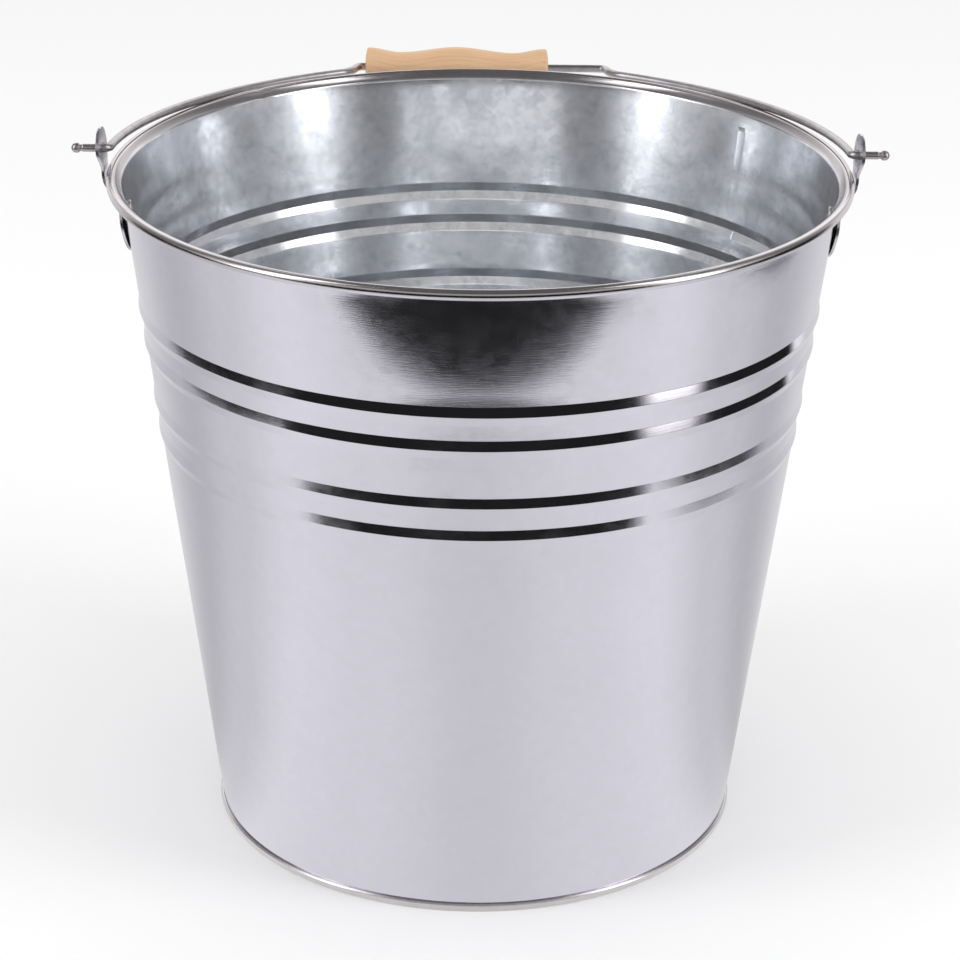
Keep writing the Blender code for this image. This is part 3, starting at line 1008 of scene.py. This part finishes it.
def make_room():
    """What the metal sees beyond the table: dim walls, a lamp panel at each side, a pale back.

    Directions are in degrees: turn is the way round from the front, and rise is the height above level.
    """
    radius, ceiling_level, backdrop_level, lamp_level, least = 8.0, 0.13, 0.95, 3.0, 0.014
    mat, tree = glow("room_glow")
    where = tree.add("ShaderNodeTexCoord").outputs["Object"]
    direction = tree.vector_math("NORMALIZE", where)
    parts = tree.add("ShaderNodeSeparateXYZ", {0: direction})
    back = tree.math("MULTIPLY", parts.outputs["Y"], -1.0)
    turn = tree.math("ARCTAN2", parts.outputs["X"], back)
    turn = tree.math("MULTIPLY", turn, 180 / math.pi)
    away = tree.math("ABSOLUTE", turn)
    rise = tree.math("MULTIPLY", tree.math("ARCSINE", parts.outputs["Z"]), 180 / math.pi)

    def between(value, low, high, soft):
        inside = tree.remap(value, low - soft, low + soft)
        return tree.math("MULTIPLY", inside, tree.remap(value, high - soft, high + soft, 1.0, 0.0))

    def round_room(stops):
        """Half the brightness, by how far round from the front a direction is."""
        halved = [(at / 180, (level / 2,) * 3) for at, level in stops]
        return tree.ramp(tree.math("DIVIDE", away, 180.0), halved)

    low_wall = round_room([
        (0, 0.48), (38, 0.52), (50, 1.0), (84, 1.1), (94, 0.40), (104, 0.15),
        (120, 0.18), (130, 0.50), (180, 0.50),
    ])
    high_wall = round_room([
        (0, 0.48), (86, 0.52), (102, 0.18), (120, 0.20), (132, 0.50), (144, 0.70),
        (156, 1.5), (180, 1.5),
    ])
    walls = tree.blend(tree.remap(rise, 13.0, 20.0), low_wall, high_wall)
    walls = tree.math("MULTIPLY", walls, 2.0)
    tall = tree.math("MULTIPLY", between(away, 92.0, 156.0, 8.0), 26.0)
    top = tree.remap(tree.math("SUBTRACT", rise, tall), 34.5, 41.5, 1.0, 0.0)
    walls = tree.math("MULTIPLY", walls, tree.math("MULTIPLY", top, tree.remap(rise, 3.0, 10.0)))
    ceiling = tree.remap(rise, 30.0, 60.0, 0.0, ceiling_level)
    sinking = tree.remap(rise, 10.0, 30.0, backdrop_level, 0.0)
    backdrop = tree.math("MULTIPLY", tree.remap(away, 124.0, 130.0), sinking)
    right_height = between(rise, -12.5, 60.0, 3.0)
    right_lamp = tree.math("MULTIPLY", between(turn, 56.0, 76.0, 4.0), right_height)
    left_height = between(rise, -3.0, 60.0, 6.0)
    left_lamp = tree.math("MULTIPLY", between(turn, -78.0, -56.0, 4.0), left_height)
    lamps = tree.math("MULTIPLY", tree.math("ADD", right_lamp, left_lamp), lamp_level)
    light = tree.math("MAXIMUM", walls, backdrop)
    light = tree.math("MAXIMUM", light, lamps)
    light = tree.math("MAXIMUM", light, ceiling)
    light = tree.math("ADD", light, least)
    shine = tree.add("ShaderNodeEmission", {"Color": (1.0, 0.985, 0.985, 1.0), "Strength": light})
    tree.add("ShaderNodeOutputMaterial", {0: shine})
    bm = bmesh.new()
    bmesh.ops.create_uvsphere(bm, u_segments=64, v_segments=32, radius=radius)
    mesh = bpy.data.meshes.new("room_glow")
    bm.to_mesh(mesh)
    bm.free()
    mesh.materials.append(mat)
    room = placed("room_glow", mesh)
    only_for(room, glossy=True)


def make_lamp(name, place, size, power):
    """A soft lamp that aims at the bucket. Metal doesn't see it."""
    light = bpy.data.lights.new(name, "AREA")
    light.shape = "RECTANGLE"
    light.size, light.size_y = size
    light.energy = power
    lamp = placed(name, light)
    lamp.location = place
    aim = Vector((0.0, 0.0, 0.15)) - Vector(place)
    lamp.rotation_mode = "QUATERNION"
    lamp.rotation_quaternion = aim.to_track_quat("-Z", "Y")
    lamp.visible_glossy = False


def make_studio():
    make_floor()
    make_table_glow()
    make_room()
    make_lamp("lamp_left", (-1.7, -0.7, 1.3), (0.9, 1.2), 12.0)
    make_lamp("lamp_right", (1.7, -0.7, 1.3), (0.9, 1.2), 14.0)
    world = bpy.data.worlds.new("studio_air")
    world.use_nodes = True
    background = world.node_tree.nodes["Background"]
    background.inputs["Color"].default_value = (1.0, 1.0, 1.0, 1.0)
    background.inputs["Strength"].default_value = 0.92
    world.cycles_visibility.glossy = False
    bpy.context.scene.world = world
    bpy.context.scene.view_settings.view_transform = "Standard"


def make_camera():
    """A long lens, 23 degrees above level, turned half a degree on its axis."""
    pitch = math.radians(22.92)
    roll = math.radians(0.56)
    distance = 1.3471
    data = bpy.data.cameras.new("camera")
    data.sensor_width = 36.0
    data.lens = 120.4
    data.shift_x = 0.0029
    data.shift_y = 0.0082
    data.clip_start = 0.05
    camera = placed("camera", data)
    place = Vector((0.0, -distance * math.cos(pitch), HEIGHT / 2 + distance * math.sin(pitch)))
    lean = Matrix.Rotation(math.pi / 2 - pitch, 4, "X") @ Matrix.Rotation(roll, 4, "Z")
    camera.matrix_world = Matrix.Translation(place) @ lean
    bpy.context.scene.camera = camera


# ---------------------------------------------------------------- assembly

TURNING = turning_tree()
WIRE = wire_tree()

make_camera()
make_studio()

zinc_outside = rolled_zinc(
    "zinc_outside", (0.795, 0.78, 0.87), (0.76, 0.745, 0.83),
    smoothness=0.055, cloud=0.8, spangle=0.02, metallic=1.0,
)
# inner face of the same sheet: the extra crystals and cloud are its own, and the colour is painted
# lighter than the outside's to stand in for light inside the bucket
zinc_inside_painted_lighter = rolled_zinc(
    "zinc_inside_painted_lighter", (0.925, 0.932, 0.955), (0.70, 0.725, 0.76),
    smoothness=0.05, cloud=0.9, spangle=0.05, metallic=0.90,
)
zinc_base = rolled_zinc(
    "zinc_base", (0.72, 0.70, 0.71), (0.66, 0.64, 0.65),
    smoothness=0.14, cloud=0.8, spangle=0.04, metallic=0.95,
)
zinc_ear = drawn_zinc("zinc_ear", (0.72, 0.71, 0.75), (0.62, 0.61, 0.65), 0.20)
zinc_wire = drawn_zinc("zinc_wire", (0.56, 0.535, 0.55), (0.46, 0.44, 0.45), 0.28)
rivet_steel = drawn_zinc("rivet_plate", (0.70, 0.68, 0.66), (0.60, 0.58, 0.56), 0.16)
rim_steel = drawn_zinc("rim_steel", (0.52, 0.51, 0.50), (0.42, 0.41, 0.40), 0.30)
beech = turned_beech()

pail_wall = make_wall(zinc_outside, zinc_inside_painted_lighter)
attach(pail_wall, "bucket")
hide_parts("bucket_wall")

pail_base = make_base(zinc_base)
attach(pail_base, "bucket")
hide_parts("base_pan")

side_seam = make_seam(zinc_outside, zinc_inside_painted_lighter)
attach(side_seam, "bucket")

for word, side in (("left", -1), ("right", 1)):
    ear = make_ear(word, side, zinc_ear)
    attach(ear, "bucket")
    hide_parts(f"ear_{word}")
    rivet = make_rivet(word, side, rivet_steel)
    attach(rivet, "bucket")
    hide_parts(f"ear_rivet_{word}")

bail_rod = make_bail(zinc_wire)
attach(bail_rod, "bail")
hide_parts("bail_wire")

beech_grip = make_grip(beech)
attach(beech_grip, "grip")
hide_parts("wooden_grip")

rim_wire = frame["nodes"]["rim_wire"]
rim_wire.data.materials.clear()
rim_wire.data.materials.append(rim_steel)
